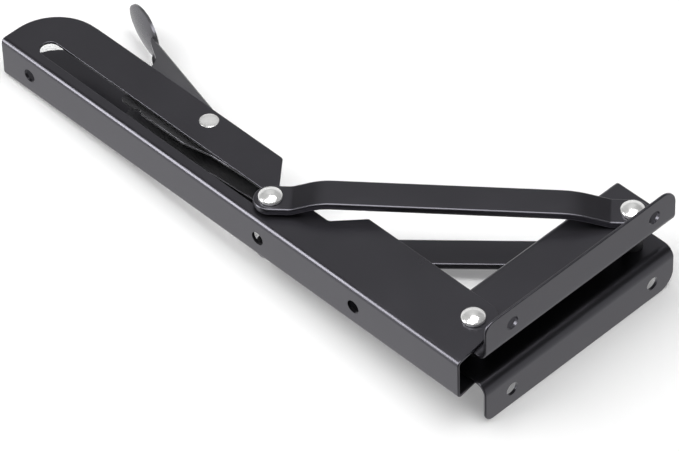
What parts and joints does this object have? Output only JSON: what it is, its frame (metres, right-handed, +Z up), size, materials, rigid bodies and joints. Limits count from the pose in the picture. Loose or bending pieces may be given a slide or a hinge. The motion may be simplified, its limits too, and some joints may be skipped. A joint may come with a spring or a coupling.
{
  "type": "folding shelf bracket",
  "caption": "Folding shelf bracket: slotted channel shelf arm, hat-section wall arm, joggled stays with a sliding pin and a spoon-ended release lever.",
  "frame": {"origin": "centre of the four wall screw holes, on the plane of the wall and the middle plane of the bracket", "axes": "The wall's face is the plane X = 0 and the wall lies on its +X side; the open shelf arm points along -X with the shelf on its -Y side; +Y runs down the wall when the bracket is in use; the bracket lies on its side as in the picture, with +Z up"},
  "size_m": [0.3072, 0.1332, 0.0612],
  "materials": {
    "black_coat": "satin black powder coat",
    "lever_coat": "satin dark gray coat",
    "bright_rivet": "polished nickel plate",
    "dark_steel": "plain dark zinc",
    "black_nylon": "matte black nylon",
    "spring_wire": "drawn spring wire"
  },
  "bodies": {
    "shelf_arm": {"shelf_arm": "black_coat", "hinge_rivet": "bright_rivet", "lever_rivet": "bright_rivet", "upper_lever_spacer": "dark_steel", "lower_lever_spacer": "dark_steel"},
    "wall_arm": {"wall_arm": "black_coat", "hinge_spacer": "dark_steel", "stay_rivet": "bright_rivet", "stay_spacer": "dark_steel"},
    "stays": {"upper_stay": "black_coat", "lower_stay": "black_coat", "upper_slide_rivet": "bright_rivet", "lower_slide_rivet": "bright_rivet"},
    "slide": {"slide_pin": "dark_steel", "upper_slide_bush": "black_nylon", "lower_slide_bush": "black_nylon"},
    "lever": {"release_lever": "lever_coat", "lever_spring": "spring_wire"}
  },
  "joints": [
    {"name": "fold", "type": "hinge", "parent": "shelf_arm", "child": "wall_arm", "pos_m": [-0.021, -0.0488, 0], "axis": [0, 0, 1], "range_deg": [0, 88]},
    {"name": "stay_swing", "type": "hinge", "parent": "wall_arm", "child": "stays", "pos_m": [-0.0152, 0.0478, 0], "axis": [0, 0, -1], "range_deg": [0, 122.4]},
    {"name": "pin_slide", "type": "slide", "parent": "shelf_arm", "child": "slide", "axis": [-1, 0, 0], "range_m": [0, 0.143]},
    {"name": "lever_release", "type": "hinge", "parent": "shelf_arm", "child": "lever", "pos_m": [-0.1965, -0.0435, 0], "axis": [0, 0, 1], "range_deg": [0, 6], "stiffness_Nm_per_rad": 0.3}
  ],
  "couplings": [
    {"joint": "stay_swing", "follows": "fold", "ratio": 1.3899},
    {"joint": "pin_slide", "follows": "fold", "m_per_rad": 0.093068}
  ]
}
